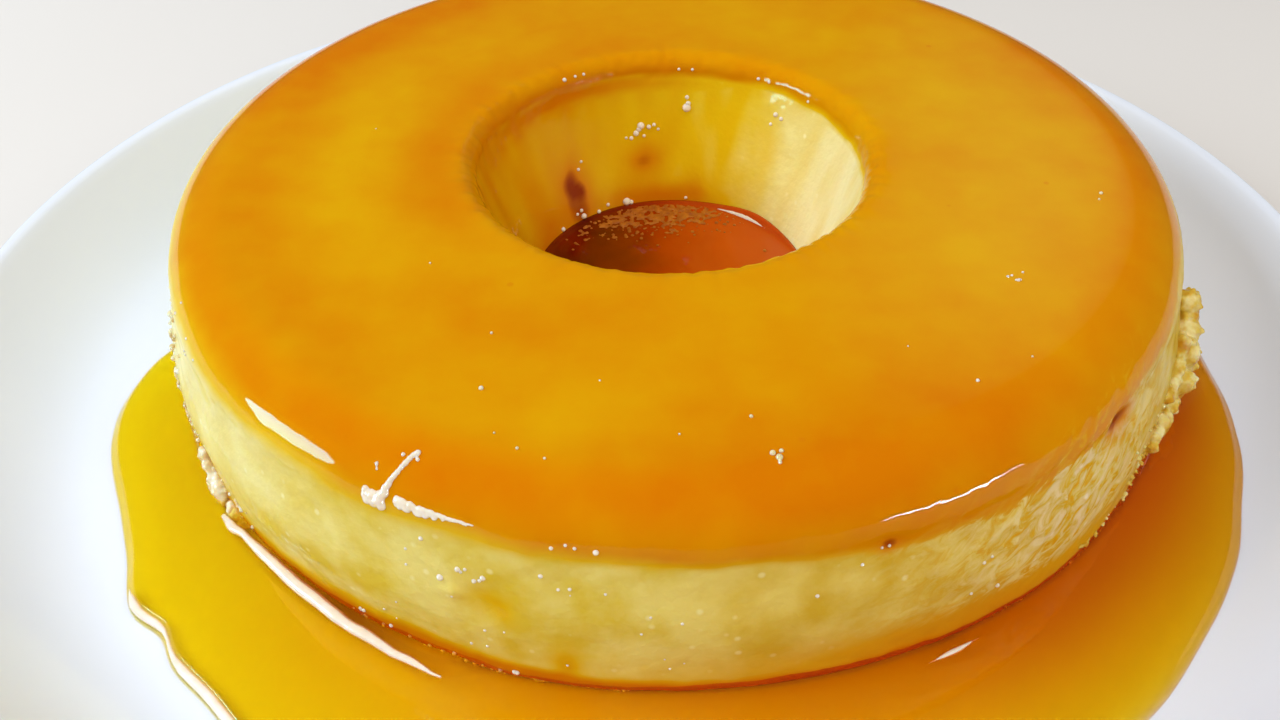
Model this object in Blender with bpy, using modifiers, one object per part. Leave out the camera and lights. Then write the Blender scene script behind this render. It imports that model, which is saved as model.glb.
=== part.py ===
"""Leche flan on its plate: a steamed custard ring, turned out of a ring mould onto a round white
dinner plate, standing in the caramel syrup that ran off it.

Metres, +Z up. The origin is the centre of the plate's foot, on the table; -Y is the front.
Four pieces: the plate, the custard ring, the syrup pooled round it and the syrup in its hole.
"""

import math
import random

import bmesh
import bpy
from mathutils import Vector

# Plate: a coupe dinner plate, a flat well that sweeps up to the rim in one curve.
PLATE_RADIUS = 0.1375
PLATE_WALL = 0.0045
WELL_RADIUS = 0.110
RIM_RISE = 0.0150
COUPE_POWER = 2.0
FOOT_HEIGHT = 0.0030
FOOT_OUTER = 0.0850
FOOT_INNER = 0.0795
FOOT_SLOPE = 0.0012
WELL_TOP = FOOT_HEIGHT + PLATE_WALL

# Custard ring: an 8 inch ring mould, about a litre of custard.
FLAN_CENTRE = Vector((0.006, 0.013, 0.0))
FLAN_HEIGHT = 0.0374
FLAN_TOP_RADIUS = 0.0973
FLAN_BASE_RADIUS = 0.1000
FLAN_BULGE = 0.0012
SHOULDER_RADIUS = 0.0097
BASE_TUCK = 0.0030
HOLE_TOP_RADIUS = 0.0381
HOLE_BASE_RADIUS = 0.0268
HOLE_LIP_RADIUS = 0.0036

# Custard that seeped past the mould's lip and set as crumbs along the base.
# Each patch: middle and half spread of its azimuth in degrees, highest crumb over the well, how many.
CRUMB_PATCHES = ((-24.0, 12.0, 0.0170, 12), (-142.5, 4.0, 0.0110, 4))
CRUMB_RADIUS = (0.0026, 0.0046)
CRUMB_SEED = 5

# Caramel syrup.
POOL_DEPTH = 0.0030
HOLE_SYRUP_DEPTH = 0.0060
# Azimuth about the ring, in degrees, and how far out the pool reaches there.
POOL_REACH = (
    (-90.0, 0.1300),
    (-60.0, 0.1275),
    (-32.0, 0.1168),
    (-12.0, 0.1072),
    (25.0, 0.1038),
    (90.0, 0.1030),
    (150.0, 0.1032),
    (-172.0, 0.1046),
    (-161.0, 0.1140),
    (-148.0, 0.1160),
    (-136.0, 0.1224),
    (-114.0, 0.1285),
)

GAP = 0.0003
STEPS = 72
MERGE = 0.00001
CUTTER_DEPTH = 0.010


def collection(name):
    made = bpy.data.collections.new(name)
    bpy.context.scene.collection.children.link(made)
    return made


def material(name, colour, roughness, metallic=0.0):
    made = bpy.data.materials.new(name)
    made.use_nodes = True
    shader = made.node_tree.nodes["Principled BSDF"]
    shader.inputs["Base Color"].default_value = (*colour, 1.0)
    shader.inputs["Roughness"].default_value = roughness
    shader.inputs["Metallic"].default_value = metallic
    made.diffuse_color = (*colour, 1.0)
    return made


def arc(centre, radius, start, end, steps):
    """Points (r, z) of an arc; angles in degrees, counted from +r towards +z."""
    points = []
    for i in range(steps + 1):
        angle = math.radians(start + (end - start) * i / steps)
        points.append((centre[0] + radius * math.cos(angle), centre[1] + radius * math.sin(angle)))
    return points


def turned(name, profile, centre, closed, group):
    """A profile of (r, z) points turned once round the vertical through centre."""
    mesh = bpy.data.meshes.new(name)
    shape = bmesh.new()
    verts = [shape.verts.new((r, 0.0, z)) for r, z in profile]
    for a, b in zip(verts, verts[1:]):
        shape.edges.new((a, b))
    if closed:
        shape.edges.new((verts[-1], verts[0]))
    shape.to_mesh(mesh)
    shape.free()
    thing = bpy.data.objects.new(name, mesh)
    thing.location = centre
    group.objects.link(thing)
    screw = thing.modifiers.new("turn", "SCREW")
    screw.steps = STEPS
    screw.render_steps = STEPS
    screw.use_merge_vertices = True
    screw.merge_threshold = MERGE
    screw.use_smooth_shade = True
    return thing


def as_mesh(thing):
    """The same object with its modifiers or curve turned into plain mesh faces."""
    bpy.context.view_layer.update()
    evaluated = thing.evaluated_get(bpy.context.evaluated_depsgraph_get())
    mesh = bpy.data.meshes.new_from_object(evaluated)
    shape = bmesh.new()
    shape.from_mesh(mesh)
    bmesh.ops.remove_doubles(shape, verts=shape.verts, dist=MERGE)
    bmesh.ops.recalc_face_normals(shape, faces=shape.faces)
    shape.to_mesh(mesh)
    shape.free()
    made = bpy.data.objects.new(thing.name, mesh)
    made.matrix_world = thing.matrix_world.copy()
    name = thing.name
    for group in thing.users_collection:
        group.objects.link(made)
    bpy.data.objects.remove(thing)
    made.name = name
    return made


def as_cutter(thing):
    thing.hide_render = True
    thing.display_type = "WIRE"
    return thing


def combine(thing, cutter, operation):
    step = thing.modifiers.new(cutter.name, "BOOLEAN")
    step.operation = operation
    step.solver = "EXACT"
    step.object = cutter


def shade_smooth(thing):
    for face in thing.data.polygons:
        face.use_smooth = True
    thing.data.set_sharp_from_angle(angle=math.radians(40.0))


def coupe_curve(lift, steps):
    """The plate's upper side from the well's edge to the rim, raised by lift."""
    points = []
    for i in range(steps + 1):
        share = i / steps
        r = WELL_RADIUS + (PLATE_RADIUS - PLATE_WALL / 2 - WELL_RADIUS) * share
        points.append((r, WELL_TOP + lift + RIM_RISE * share**COUPE_POWER))
    return points


def plate(parts):
    """One glazed piece: well, coupe sweep, rounded rim, and a foot ring underneath."""
    upper = coupe_curve(0.0, 7)
    rim = upper[-1]
    rounded_rim = arc((rim[0], rim[1] - PLATE_WALL / 2), PLATE_WALL / 2, 68.0, -68.0, 4)
    under = [(r + 0.0004, z - PLATE_WALL) for r, z in reversed(upper[1:-1])]
    foot = [
        (FOOT_OUTER + FOOT_SLOPE, FOOT_HEIGHT),
        (FOOT_OUTER, 0.0),
        (FOOT_INNER, 0.0),
        (FOOT_INNER - FOOT_SLOPE, FOOT_HEIGHT),
    ]
    profile = [(0.0, WELL_TOP), *upper[:-1], *rounded_rim, *under, *foot, (0.0, FOOT_HEIGHT)]
    made = turned("plate", profile, (0.0, 0.0, 0.0), False, parts)
    made.data.materials.append(material("white porcelain", (0.86, 0.88, 0.89), 0.12))
    return made


def flan_side(outset):
    """The ring's outer side, top to bottom: shoulder, slightly barrelled wall and tucked-in base."""
    base = WELL_TOP + GAP
    top = base + FLAN_HEIGHT
    centre = (FLAN_TOP_RADIUS - SHOULDER_RADIUS, top - SHOULDER_RADIUS)
    side = arc(centre, SHOULDER_RADIUS + outset, 90.0, 8.0, 6)
    wall_top = top - SHOULDER_RADIUS
    wall_base = base + BASE_TUCK
    for i in range(1, 6):
        share = i / 6
        straight = FLAN_TOP_RADIUS + (FLAN_BASE_RADIUS - FLAN_TOP_RADIUS) * share
        bulge = FLAN_BULGE * math.sin(math.pi * share) ** 2
        side.append((straight + bulge + outset, wall_top + (wall_base - wall_top) * share))
    tuck = arc((FLAN_BASE_RADIUS - BASE_TUCK, wall_base), BASE_TUCK, 0.0, -90.0, 3)
    side += [(r + outset, z) for r, z in tuck]
    return side


def crumbs(cutters):
    """Small lumps half sunk in the wall, clear above the pool, in a loop over each patch."""
    rng = random.Random(CRUMB_SEED)
    made = []
    for middle, spread, high, count in CRUMB_PATCHES:
        for i in range(count):
            azimuth = math.radians(middle + spread * (2 * (i + rng.uniform(0.2, 0.8)) / count - 1))
            radius = rng.uniform(*CRUMB_RADIUS)
            height = WELL_TOP + rng.uniform(POOL_DEPTH + GAP + radius, high)
            out = FLAN_BASE_RADIUS + 0.15 * radius
            place = FLAN_CENTRE + Vector((out * math.cos(azimuth), out * math.sin(azimuth), height))
            bpy.ops.mesh.primitive_ico_sphere_add(subdivisions=2, radius=radius, location=place)
            lump = bpy.context.active_object
            lump.name = f"crumb_{len(made) + 1}"
            for group in lump.users_collection:
                group.objects.unlink(lump)
            cutters.objects.link(lump)
            made.append(as_cutter(lump))
    return made


def flan(parts, cutters):
    """The set custard, one solid ring, with its seeped crumbs joined on."""
    base = WELL_TOP + GAP
    top = base + FLAN_HEIGHT
    lip_centre = (HOLE_TOP_RADIUS + HOLE_LIP_RADIUS, top - HOLE_LIP_RADIUS)
    lip = arc(lip_centre, HOLE_LIP_RADIUS, 180.0, 90.0, 4)
    profile = [*flan_side(0.0), (HOLE_BASE_RADIUS, base), *lip]
    made = as_mesh(turned("flan", profile, FLAN_CENTRE, True, parts))
    for lump in crumbs(cutters):
        combine(made, lump, "UNION")
    shade_smooth(made)
    made.data.materials.append(material("caramel custard", (0.80, 0.42, 0.03), 0.25))
    return made


def pool_outline(parts):
    """The pool seen from above: one smooth closed curve through POOL_REACH."""
    data = bpy.data.curves.new("syrup_pool", "CURVE")
    data.dimensions = "2D"
    data.fill_mode = "BOTH"
    data.extrude = POOL_DEPTH / 2
    data.resolution_u = 6
    spline = data.splines.new("BEZIER")
    spline.use_cyclic_u = True
    spline.bezier_points.add(len(POOL_REACH) - 1)
    for point, (azimuth, reach) in zip(spline.bezier_points, POOL_REACH):
        angle = math.radians(azimuth)
        point.co = (reach * math.cos(angle), reach * math.sin(angle), 0.0)
        point.handle_left_type = "AUTO"
        point.handle_right_type = "AUTO"
    made = bpy.data.objects.new("syrup_pool", data)
    made.location = FLAN_CENTRE + Vector((0.0, 0.0, WELL_TOP + POOL_DEPTH / 2))
    parts.objects.link(made)
    return made


def syrup_pool(parts, cutters):
    """Caramel lying round the ring, deepest at the front, thinning to a seam at the back."""
    made = as_mesh(pool_outline(parts))
    edge = made.modifiers.new("rounded edge", "BEVEL")
    edge.width = POOL_DEPTH * 0.45
    edge.segments = 2
    edge.limit_method = "ANGLE"
    plate_side = [(0.0, WELL_TOP + GAP), *coupe_curve(GAP, 7)]
    under_side = [(PLATE_RADIUS, WELL_TOP - CUTTER_DEPTH), (0.0, WELL_TOP - CUTTER_DEPTH)]
    below = turned("above_plate", plate_side + under_side, (0.0, 0.0, 0.0), False, cutters)
    combine(made, as_cutter(as_mesh(below)), "DIFFERENCE")
    side = flan_side(GAP)
    plug_top = [(0.0, side[0][1])]
    plug_base = [(side[-1][0], WELL_TOP - CUTTER_DEPTH), (0.0, WELL_TOP - CUTTER_DEPTH)]
    inside = turned("ring_side", plug_top + side + plug_base, FLAN_CENTRE, False, cutters)
    combine(made, as_cutter(as_mesh(inside)), "DIFFERENCE")
    made.data.materials.append(material("caramel syrup", (0.72, 0.30, 0.01), 0.05))
    return made


def hole_syrup(parts):
    """Caramel trapped in the ring's hole, standing a little deeper than the pool outside."""
    low = WELL_TOP + GAP
    high = WELL_TOP + HOLE_SYRUP_DEPTH
    widening = (HOLE_TOP_RADIUS - HOLE_BASE_RADIUS) / FLAN_HEIGHT
    low_radius = HOLE_BASE_RADIUS - GAP
    high_radius = low_radius + widening * (high - low)
    profile = [(0.0, high), (high_radius, high), (low_radius, low), (0.0, low)]
    made = turned("hole_syrup", profile, FLAN_CENTRE, False, parts)
    made.data.materials.append(material("deep caramel syrup", (0.38, 0.06, 0.003), 0.05))
    return made


for old in list(bpy.data.objects):
    bpy.data.objects.remove(old)
leche_flan = collection("leche_flan")
tools = collection("cutters")
plate(leche_flan)
flan(leche_flan, tools)
syrup_pool(leche_flan, tools)
hole_syrup(leche_flan)
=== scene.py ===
import math
import random

import bmesh
import bpy
from mathutils import Matrix, Vector, noise
from mathutils.bvhtree import BVHTree


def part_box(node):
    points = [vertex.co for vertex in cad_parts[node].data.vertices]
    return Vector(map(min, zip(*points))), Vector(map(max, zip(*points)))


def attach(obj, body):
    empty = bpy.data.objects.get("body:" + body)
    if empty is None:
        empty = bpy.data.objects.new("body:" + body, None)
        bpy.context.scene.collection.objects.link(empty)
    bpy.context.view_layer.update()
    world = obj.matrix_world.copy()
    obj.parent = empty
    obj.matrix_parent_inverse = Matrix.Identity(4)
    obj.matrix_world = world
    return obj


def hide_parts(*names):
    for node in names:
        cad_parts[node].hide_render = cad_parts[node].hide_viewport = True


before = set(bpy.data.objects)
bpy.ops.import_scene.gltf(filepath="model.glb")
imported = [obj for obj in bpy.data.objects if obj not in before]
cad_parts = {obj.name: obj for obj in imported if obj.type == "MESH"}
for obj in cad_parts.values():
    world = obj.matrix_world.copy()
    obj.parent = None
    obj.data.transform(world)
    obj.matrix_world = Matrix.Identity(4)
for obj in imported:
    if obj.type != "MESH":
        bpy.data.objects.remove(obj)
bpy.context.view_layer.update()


# Plate ------------------------------------------------------------------------------------
# A coupe dinner plate of hard white porcelain: jiggered in one piece, so the flat well sweeps
# up to the rim in one curve, then dipped in clear glaze and fired on its bare foot ring.
plate_low, plate_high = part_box("plate")
PLATE_RADIUS = plate_high.x
PLATE_WALL = 0.0045
WELL_RADIUS = 0.8 * PLATE_RADIUS
FOOT_HEIGHT = 0.0030
FOOT_RADII = (0.0850, 0.0795)
WELL_TOP = FOOT_HEIGHT + PLATE_WALL
RIM_RISE = 0.0150
PLATE_STEPS = 256


def linear(code):
    """sRGB hex to the linear colour that a shader socket takes."""
    parts = [int(code[i : i + 2], 16) / 255 for i in (1, 3, 5)]
    return tuple(c / 12.92 if c <= 0.04045 else ((c + 0.055) / 1.055) ** 2.4 for c in parts) + (1.0,)


def add_node(tree, kind, settings=None, inputs=None):
    """Adds one node. An input is a value, or another node's output socket to link from."""
    made = tree.nodes.new(kind)
    for name, value in (settings or {}).items():
        setattr(made, name, value)
    for name, value in (inputs or {}).items():
        socket = next(s for s in made.inputs if name in (s.identifier, s.name))
        if isinstance(value, bpy.types.NodeSocket):
            tree.links.new(value, socket)
        else:
            socket.default_value = value
    return made


def new_material(name):
    """A material with an empty node tree and its output node."""
    made = bpy.data.materials.new(name)
    made.use_nodes = True
    made.node_tree.nodes.clear()
    return made, made.node_tree, made.node_tree.nodes.new("ShaderNodeOutputMaterial")


def arc(centre, radii, start, end, steps):
    """(r, z) points of an elliptical arc; angles in degrees from +r towards +z."""
    angles = [math.radians(start + (end - start) * i / steps) for i in range(steps + 1)]
    return [(centre[0] + radii[0] * math.cos(a), centre[1] + radii[1] * math.sin(a)) for a in angles]


def straight(start, end, steps):
    """Evenly spaced (r, z) points after start, up to end."""
    return [
        (start[0] + (end[0] - start[0]) * i / steps, start[1] + (end[1] - start[1]) * i / steps)
        for i in range(1, steps + 1)
    ]


def spun(profile, steps, closed):
    """A bmesh: the (r, z) profile spun once round the Z axis, with its seam and poles welded."""
    shape = bmesh.new()
    verts = [shape.verts.new((r, 0.0, z)) for r, z in profile]
    pairs = list(zip(verts, verts[1:]))
    if closed:
        pairs.append((verts[-1], verts[0]))
    edges = [shape.edges.new(pair) for pair in pairs]
    bmesh.ops.spin(
        shape, geom=verts + edges, cent=(0, 0, 0), axis=(0, 0, 1),
        angle=math.tau, steps=steps, use_merge=True,
    )
    bmesh.ops.remove_doubles(shape, verts=shape.verts, dist=0.000005)
    bmesh.ops.recalc_face_normals(shape, faces=shape.faces)
    return shape


def piece(name, shape, material):
    """Makes the finished object of a bmesh, smooth shaded, riding on the one body."""
    mesh = bpy.data.meshes.new(name)
    shape.to_mesh(mesh)
    shape.free()
    mesh.shade_smooth()
    made = bpy.data.objects.new(name, mesh)
    bpy.context.scene.collection.objects.link(made)
    made.data.materials.append(material)
    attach(made, "root")
    return made


def plate_height(r):
    """Height of the plate's upper side at radius r from its centre."""
    run = PLATE_RADIUS - PLATE_WALL / 2 - WELL_RADIUS
    return WELL_TOP + RIM_RISE * max((r - WELL_RADIUS) / run, 0.0) ** 2


def glazed_porcelain():
    """Glazed porcelain: bright cool white, glassy coat, a trace of unevenness in body and glaze."""
    material, tree, output = new_material("glazed white porcelain")
    place = add_node(tree, "ShaderNodeTexCoord").outputs["Object"]
    cloud = add_node(tree, "ShaderNodeTexNoise", inputs={"Vector": place, "Scale": 18.0, "Detail": 3.0})
    body = add_node(
        tree, "ShaderNodeMix", {"data_type": "RGBA"},
        {"Factor_Float": cloud.outputs["Fac"], "A_Color": linear("#e9effa"), "B_Color": linear("#f0f4fc")},
    )
    # orange peel of the glaze, a few millimetres across
    peel = add_node(tree, "ShaderNodeTexNoise", inputs={"Vector": place, "Scale": 260.0, "Detail": 1.0})
    bump = add_node(
        tree, "ShaderNodeBump",
        inputs={"Strength": 0.04, "Distance": 0.0004, "Height": peel.outputs["Fac"]},
    )
    shader = add_node(
        tree, "ShaderNodeBsdfPrincipled",
        inputs={
            "Base Color": body.outputs["Result"], "Roughness": 0.22, "Normal": bump.outputs["Normal"],
            "Coat Weight": 0.6, "Coat Roughness": 0.06, "IOR": 1.5,
        },
    )
    tree.links.new(shader.outputs[0], output.inputs["Surface"])
    return material


def build_plate():
    rim = PLATE_RADIUS - PLATE_WALL / 2
    upper = [(WELL_RADIUS * i / 10, WELL_TOP) for i in range(10)]
    upper += [(r, plate_height(r)) for r in (WELL_RADIUS + (rim - WELL_RADIUS) * i / 24 for i in range(24))]
    edge = (rim, plate_height(rim) - PLATE_WALL / 2)
    upper += arc(edge, (PLATE_WALL / 2, PLATE_WALL / 2), 68, -68, 10)
    under = [
        (r + 0.0004, plate_height(r) - PLATE_WALL)
        for r in (rim - (rim - WELL_RADIUS) * i / 24 for i in range(1, 24))
    ]
    outer, inner = FOOT_RADII
    foot = [(outer + 0.0012, FOOT_HEIGHT), (outer + 0.0003, 0.0004), (outer - 0.0003, 0.0)]
    foot += [(inner + 0.0003, 0.0), (inner - 0.0003, 0.0004), (inner - 0.0012, FOOT_HEIGHT)]
    shape = spun([*upper, *under, *foot, (0.0, FOOT_HEIGHT)], PLATE_STEPS, False)
    plate = piece("porcelain_plate", shape, glazed_porcelain())
    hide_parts("plate")


build_plate()


# Custard ring -----------------------------------------------------------------------------
# Egg yolk and condensed milk custard, steamed over burnt sugar in a ring mould and turned out:
# pale, pitted and a little torn where it stood against the tin, soaked orange and mirror smooth
# on top, where the caramel lay. Wet all over, and faintly translucent.
syrup_low, syrup_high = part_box("hole_syrup")
flan_low, flan_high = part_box("flan")
RING_CENTRE = Vector(((syrup_low.x + syrup_high.x) / 2, (syrup_low.y + syrup_high.y) / 2, 0.0))
RING_BASE = flan_low.z
RING_TOP = flan_high.z
RING_HEIGHT = RING_TOP - RING_BASE
BASE_RADIUS = 0.1000
TOP_RADIUS = 0.0973
BULGE = 0.0012
BASE_TUCK = 0.0030
SHOULDER = (0.0120, 0.0097)
HOLE_RADII = (0.0381, 0.0268)
HOLE_LIP = 0.0040
RING_STEPS = 600
FRONT_DENSITY = 0.45

# Azimuth in degrees, then how high over the base the caramel has soaked down the side to.
SOAK_LINE = (
    (-180, 0.0350), (-160, 0.0345), (-145, 0.0335), (-130, 0.0327), (-120, 0.0313), (-100, 0.0300),
    (-90, 0.0290), (-80, 0.0276), (-70, 0.0262), (-60, 0.0256), (-50, 0.0275), (-40, 0.0298),
    (-20, 0.0330), (60, 0.0340), (180, 0.0350),
)
# How much caramel has run down the wall of the hole.
HOLE_SOAK = (
    (-180, 0.86), (-100, 0.66), (-60, 0.40), (-20, 0.10), (30, 0.03), (46, 0.12), (58, 0.30), (80, 0.42),
    (105, 0.56), (130, 0.76), (160, 0.86), (180, 0.86),
)
# From pale yolk yellow to ochre along the side.
WALL_TONE = (
    (-180, 0.0), (-140, 0.10), (-120, 0.22), (-100, 0.36), (-80, 0.80), (-62, 1.0), (-50, 0.75),
    (-35, 0.85), (0, 0.8), (60, 0.5), (180, 0.0),
)
# Thick and thin clouds of caramel on top: azimuth, radius, their two spreads, golden or dark.
CLOUDS = (
    (-178, 0.062, 34, 0.009, 0.40), (175, 0.046, 42, 0.006, -0.30), (-105, 0.078, 22, 0.008, 0.20),
    (-70, 0.084, 18, 0.014, -0.40), (-15, 0.062, 50, 0.016, 0.28), (60, 0.055, 50, 0.014, 0.15),
    (140, 0.086, 28, 0.011, -0.60), (110, 0.046, 25, 0.006, -0.20), (10, 0.0885, 50, 0.004, -0.45),
    (-150, 0.080, 18, 0.005, -0.20), (-125, 0.060, 25, 0.008, -0.12), (-100, 0.0915, 60, 0.005, -0.45),
)
# Burnt marks: azimuth, height, spreads, strength, and whether they are in the hole.
BURNS = (
    (131, 0.0120, 6.0, 0.0058, 1.2, True), (98, 0.0160, 7.0, 0.0028, 0.62, True),
    (155, 0.0120, 5.0, 0.0050, 0.25, True), (77, 0.0090, 4.0, 0.0026, 0.30, True),
    (-73, 0.0268, 1.0, 0.0013, 0.85, False), (-44.5, 0.0266, 2.3, 0.0030, 0.85, False),
)
# Dents and blisters: azimuth, height, spreads, depth.
DENTS = (
    (-44.5, 0.0262, 1.9, 0.0030, -0.0009), (-108, 0.0180, 2.2, 0.0034, -0.0008),
    (-73, 0.0268, 1.2, 0.0016, -0.0005), (-111, 0.0185, 1.0, 0.0012, 0.0006),
    (-98, 0.0125, 2.5, 0.0030, -0.0003), (-129, 0.0150, 3.0, 0.0035, 0.0003),
)
# Rims left by bubbles in the torn skin: azimuth, height, radius.
BUBBLE_RIMS = ((-60.8, 0.0206, 0.0021), (-52.8, 0.0218, 0.0018), (-57.6, 0.0165, 0.0015))
# What the ring's mesh carries for its material, each 0 to 1.
PAINTS = ("soak", "gold", "tone", "painted_window_light", "brown", "torn", "film")


def smoothstep(low, high, value):
    share = min(max((value - low) / (high - low), 0.0), 1.0)
    return share * share * (3 - 2 * share)


def along(points, azimuth, column=1):
    """Smoothly read a column of rows that start with their azimuth, from -180 to 180 degrees."""
    for before, after in zip(points, points[1:]):
        if azimuth <= after[0]:
            share = smoothstep(before[0], after[0], azimuth)
            return before[column] + (after[column] - before[column]) * share
    return points[-1][column]


def bump_at(value, centre, spread):
    return math.exp(-(((value - centre) / spread) ** 2))


def near(azimuth, centre, spread):
    """1 at the centre azimuth, falling smoothly to 0; degrees."""
    return bump_at((azimuth - centre + 180) % 360 - 180, 0, spread)


def ring_profile():
    """(r, z) of the ring's section, from the base tuck up and over to the hole and underneath."""
    shoulder_z = RING_TOP - SHOULDER[1]
    profile = arc((BASE_RADIUS - BASE_TUCK, RING_BASE + BASE_TUCK), (BASE_TUCK, BASE_TUCK), -90, 0, 6)
    rows = 42
    for i in range(1, rows):
        share = i / rows
        r = BASE_RADIUS + (TOP_RADIUS - BASE_RADIUS) * share + BULGE * math.sin(math.pi * share) ** 2
        profile.append((r, RING_BASE + BASE_TUCK + (shoulder_z - RING_BASE - BASE_TUCK) * share))
    profile += arc((TOP_RADIUS - SHOULDER[0], shoulder_z), SHOULDER, 0, 90, 26)
    lip = (HOLE_RADII[0] + HOLE_LIP, RING_TOP - HOLE_LIP)
    profile += straight(profile[-1], (lip[0], RING_TOP), 32)
    profile += arc(lip, (HOLE_LIP, HOLE_LIP), 90, 180, 7)[1:]
    profile += straight(profile[-1], (HOLE_RADII[1], RING_BASE), 34)
    profile += straight(profile[-1], (BASE_RADIUS - BASE_TUCK, RING_BASE), 6)[:-1]
    return profile


def ring_relief(azimuth, r, height, point):
    """How far the surface stands out from the smooth ring, along its normal, in metres."""
    on_wall = smoothstep(0.088, 0.094, r) * smoothstep(0.036, 0.026, height)
    in_hole = smoothstep(0.043, 0.0385, r)
    on_top = 1.0 - max(smoothstep(0.088, 0.094, r), in_hole)
    sway = noise.noise(point * 22.0)
    lumps = noise.noise(point * 110.0 + Vector((7, 1, 3)))
    grain = noise.noise(point * 420.0 + Vector((2, 9, 4)))
    relief = (0.0005 * sway + 0.00028 * lumps + 0.00012 * grain) * on_wall
    relief += (0.0004 * sway + 0.00010 * lumps) * in_hole
    relief += 0.00010 * sway * on_top
    relief += 0.00032 * noise.noise(point * 520.0) * bump_at(r, 0.0400, 0.0026)
    # a wavering shoulder, which breaks the window's reflection there
    on_shoulder = smoothstep(0.0855, 0.092, r) * smoothstep(0.024, 0.029, height)
    relief += 0.00010 * lumps * on_shoulder * near(azimuth, -75, 45)
    if r > 0.086:
        # rag-like torn skin where the custard stuck to the tin
        torn = near(azimuth, -48, 16) * smoothstep(0.003, 0.009, height) * smoothstep(0.035, 0.029, height)
        shred = 1.0 - abs(noise.noise(Vector((point.x * 200, point.y * 200, point.z * 330 - point.x * 150))))
        relief += 0.00030 * torn * (shred**3 - 0.4)
        for centre, level, spread, rise, depth in DENTS:
            relief += depth * near(azimuth, centre, spread) * bump_at(height, level, rise)
        for centre, level, radius in BUBBLE_RIMS:
            away = math.hypot(math.radians(azimuth - centre) * BASE_RADIUS, height - level)
            relief += 0.0004 * bump_at(away, radius, 0.0004)
    return relief


def paint(azimuth, r, height, point):
    """Soak, gold, tone, painted window light, brown and tornness at a point of the ring, each 0 to 1."""
    wobble = 0.0010 * noise.noise(point * 70.0) + 0.0004 * noise.noise(point * 260.0)
    brown = 0.0
    for centre, level, spread, rise, strength, inside in BURNS:
        if inside == (r < 0.06):
            ragged = 1.0 + 0.5 * noise.noise(point * 300.0)
            brown += strength * near(azimuth, centre, spread) * bump_at(height, level, rise) * ragged
    drift = 9.0 * noise.noise(point * 35.0)
    gold = 0.55 + 0.20 * noise.noise(point * 45.0) + 0.10 * noise.noise(point * 130.0)
    for centre, radius, spread, reach, amount in CLOUDS:
        away = near(azimuth + drift, centre, spread) * bump_at(r + drift * 0.0002, radius, reach)
        gold += amount * away
    tone = along(WALL_TONE, azimuth)
    if r < 0.060:
        lip = smoothstep(0.0318, 0.0345, height + wobble)
        run = along(HOLE_SOAK, azimuth) + 0.20 * noise.noise(Vector((point.x * 200, point.y * 200, point.z * 25)))
        # the darker band under the lip, on the window's side
        band = bump_at(height + wobble, 0.0320, 0.0034) * near(azimuth, 135, 66)
        gold -= 0.9 * band
        # and the stain above the syrup's edge
        stain = smoothstep(0.0150, 0.0065, height + 2.0 * wobble)
        stain *= max(near(azimuth, 96, 36), near(azimuth, 155, 26))
        gold -= 0.6 * stain
        brown += 0.30 * stain
        soak = max(lip, min(max(run, 0.0), 1.0), band, stain)
        tone = 0.0
        # painted light: the hole's wall that faces the window, painted paler
        painted_window_light = 0.95 * near(azimuth, 4, 36)
        return soak, min(max(gold, 0.0), 1.0), tone, painted_window_light, min(brown, 1.0), 0.0, 1.0
    line = along(SOAK_LINE, azimuth) + wobble
    width = 0.0014 + 0.0046 * near(azimuth, -142, 38)
    soak = smoothstep(line - width, line + 0.0006 + 0.4 * width, height) if r > 0.083 else 1.0
    # the foot of the side drinks the syrup it stands in
    drunk = 0.0022 + 0.0048 * near(azimuth, -124, 24) + 0.0016 * near(azimuth, -75, 25)
    foot = 1.25 * smoothstep(1.25 * drunk, 0.50 * drunk, height + wobble) * near(azimuth, -100, 48)
    # the ochre pit left of the middle
    foot += 0.36 * near(azimuth, -107.8, 2.4) * bump_at(height + wobble, 0.0182, 0.0030)
    foot += 0.22 * near(azimuth, -106.3, 0.9) * bump_at(height + wobble, 0.0165, 0.0020)
    foot += 0.50 * near(azimuth, -101, 1.3) * bump_at(height, 0.007, 0.004)
    foot += 0.66 * near(azimuth, -64, 24) * smoothstep(0.0140, 0.0030, height + wobble)
    foot += 0.60 * near(azimuth, -149, 6) * smoothstep(0.0135, 0.0095, height + wobble)
    if height < 0.025:
        soak = max(soak, min(foot, 1.0))
        gold -= 0.35 * min(foot, 1.0)
    brown += 0.50 * bump_at(height, 0.0040, 0.0010) * near(azimuth, -123, 20)
    brown += 0.60 * bump_at(height, 0.0026, 0.0010) * near(azimuth, -94, 26)
    # painted light: the left of the side, facing the window and mirroring it at a grazing angle, painted paler
    painted_window_light = 0.62 * near(azimuth, -168, 20) + 0.35 * near(azimuth, -140, 14) * smoothstep(0.010, 0.018, height)
    painted_window_light *= 1.0 - 0.6 * bump_at(height, line, 0.004)
    # the film of syrup thins out before it ends
    film = 1.0 - 0.85 * smoothstep(line + 0.0062, line + 0.0022, height) * near(azimuth, -72, 32)
    # where the skin is torn, above and below the soak line
    torn = near(azimuth, -50, 16) * smoothstep(0.004, 0.015, height)
    torn *= smoothstep(line + 0.0080, line + 0.0010, height)
    return soak, min(max(gold, 0.0), 1.0), tone, min(painted_window_light, 1.0), min(brown, 1.0), torn, film


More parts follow.
